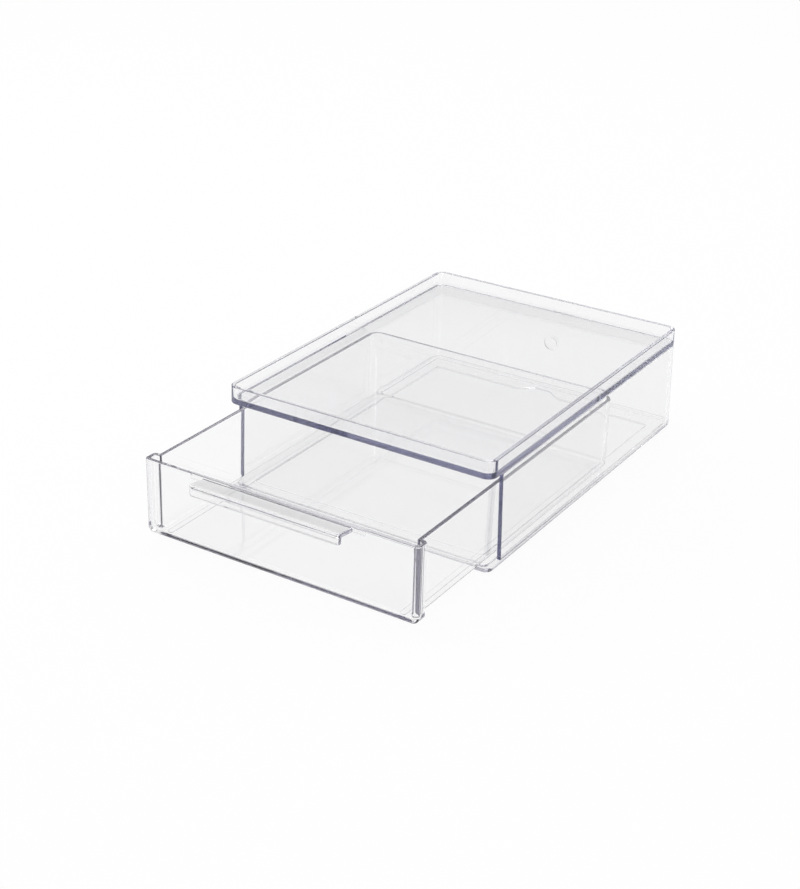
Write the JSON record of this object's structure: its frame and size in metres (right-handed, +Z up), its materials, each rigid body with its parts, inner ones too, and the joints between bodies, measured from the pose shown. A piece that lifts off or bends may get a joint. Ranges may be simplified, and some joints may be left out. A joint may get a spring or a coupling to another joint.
{
  "type": "stackable drawer box",
  "caption": "Clear moulded box with a sliding drawer, a tray-like rimmed top and a foot ring, so that boxes stack; the drawer has a lipped pull.",
  "frame": {"origin": "on the surface that the box stands on, under the middle of the whole box with its drawer pulled out as at rest", "axes": "+X to the box's right seen from its front, +Y from the drawer's front to the case's back, +Z up"},
  "size_m": [0.1682, 0.305, 0.0635],
  "materials": {
    "base_plate": "clear, polished",
    "case_walls": "clear, polished",
    "top_tray": "clear, polished",
    "drawer_tub": "clear, polished",
    "drawer_pull": "clear, polished"
  },
  "bodies": {
    "case": {"base_plate": "base_plate", "case_walls": "case_walls", "top_tray": "top_tray"},
    "drawer": {"drawer_tub": "drawer_tub", "drawer_pull": "drawer_pull"}
  },
  "joints": [
    {"name": "drawer_slide", "type": "slide", "parent": "case", "child": "drawer", "axis": [0, -1, 0], "range_m": [-0.0711, 0.068]}
  ]
}
